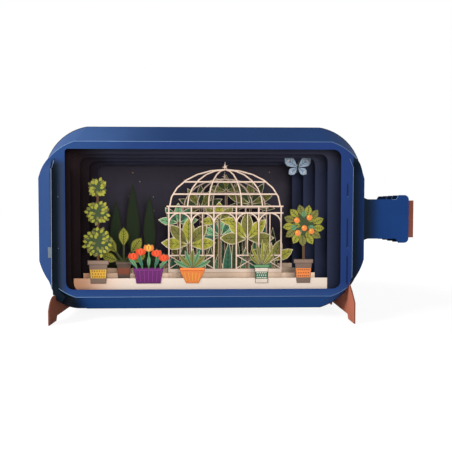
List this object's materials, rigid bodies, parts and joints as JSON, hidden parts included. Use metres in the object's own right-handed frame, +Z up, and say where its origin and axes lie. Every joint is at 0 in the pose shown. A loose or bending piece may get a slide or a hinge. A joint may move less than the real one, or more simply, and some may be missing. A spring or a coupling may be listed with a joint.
{
  "type": "greeting card",
  "caption": "Layered pop-up card shaped like a bottle on its side, with a window onto a paper garden, folded side strips that hold the layers apart and two slotted feet.",
  "frame": {"origin": "middle of the card's overall box at the level of the feet", "axes": "+Z up, +X along the bottle towards its neck, -Y towards the viewer"},
  "size_m": [0.2456, 0.0814, 0.126],
  "materials": {
    "blue_frame": "matt printed card",
    "blue_flap": "matt printed card",
    "navy_card": "matt printed card",
    "night_card": "matt printed card",
    "terracotta_card": "matt printed card",
    "cream_card": "matt printed card",
    "lattice_card": "matt printed card",
    "lime_card": "matt printed card",
    "teal_card": "matt printed card",
    "olive_card": "matt printed card",
    "plant_card": "matt printed card",
    "dark_green_card": "matt printed card",
    "pale_blue_card": "matt printed card"
  },
  "bodies": {
    "root": {"agave_bowl": "plant_card", "back_panel": "night_card", "ball_topiary": "plant_card", "bottom_flap": "blue_flap", "broad_leaf_pot": "plant_card", "butterfly": "pale_blue_card", "citrus_tree": "plant_card", "cork_1": "terracotta_card", "cork_2": "terracotta_card", "cork_3": "terracotta_card", "cork_4": "terracotta_card", "cork_5": "terracotta_card", "cypress_row": "dark_green_card", "foliage_lime": "lime_card", "foliage_olive": "olive_card", "foliage_teal": "teal_card", "front_frame": "blue_frame", "grass_pot": "plant_card", "ground_strip_1": "cream_card", "ground_strip_2": "cream_card", "ground_strip_3": "cream_card", "ground_strip_4": "cream_card", "layer_1": "navy_card", "layer_2": "navy_card", "layer_3": "navy_card", "layer_4": "navy_card", "left_concertina": "navy_card", "left_foot": "terracotta_card", "pavilion_back": "lattice_card", "pavilion_front": "lattice_card", "right_concertina": "navy_card", "right_foot": "terracotta_card", "top_flap": "blue_flap", "tulip_planter": "plant_card"}
  },
  "joints": []
}
